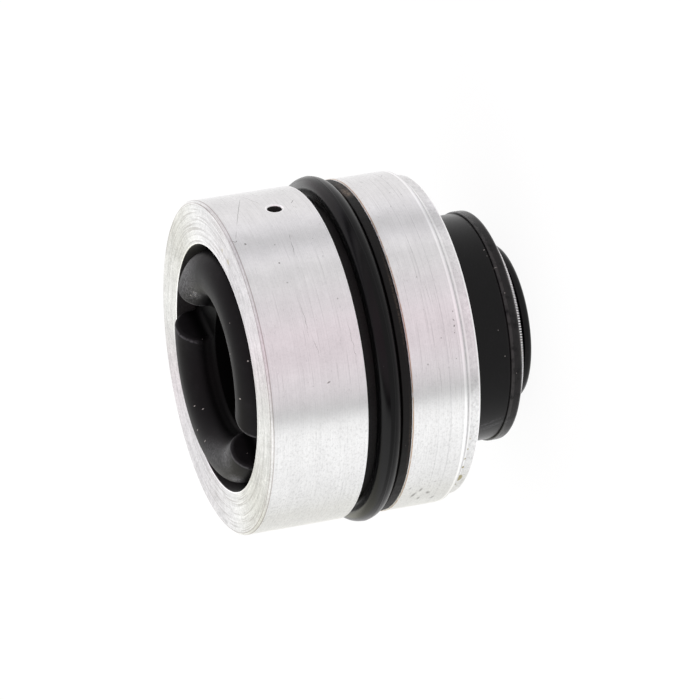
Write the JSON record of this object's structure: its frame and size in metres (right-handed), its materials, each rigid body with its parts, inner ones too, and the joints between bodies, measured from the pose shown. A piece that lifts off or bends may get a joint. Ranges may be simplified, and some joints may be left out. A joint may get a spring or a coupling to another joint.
{
  "type": "shock absorber oil seal head",
  "caption": "Turned aluminium seal head of a shock absorber, with its O-ring, backup ring, notched rubber rebound bumper, guide bush, oil seal and sprung dust seal.",
  "frame": {"origin": "centre of the bottom of the box, at the tip of the outer seal lip, which the part stands on", "axes": "+Z along the rod's axis, towards the open bumper end; +X along the line of the two bumper notches"},
  "size_m": [0.0518, 0.0518, 0.0471],
  "materials": {
    "turned_aluminium": "fine turned, with faint turning marks",
    "o_ring_rubber": "smooth black, slightly shiny",
    "backup_rubber": "matt black",
    "bumper_rubber": "moulded, matt black with dust",
    "washer_steel": "plain stamped steel",
    "bush_lining": "lined sliding surface on a rolled strip",
    "seal_rubber": "moulded, matt black",
    "spring_steel": "bright drawn wire",
    "white_ptfe": "plain off-white"
  },
  "bodies": {
    "root": {"seal_head_body": "turned_aluminium", "body_o_ring": "o_ring_rubber", "body_backup_ring": "backup_rubber", "rebound_bumper": "bumper_rubber", "bumper_washer": "washer_steel", "guide_bush": "bush_lining", "oil_seal": "seal_rubber", "oil_seal_spring": "spring_steel", "oil_seal_backup_ring": "white_ptfe", "seal_washer": "washer_steel", "dust_seal": "seal_rubber", "dust_seal_spring": "spring_steel"}
  },
  "joints": []
}
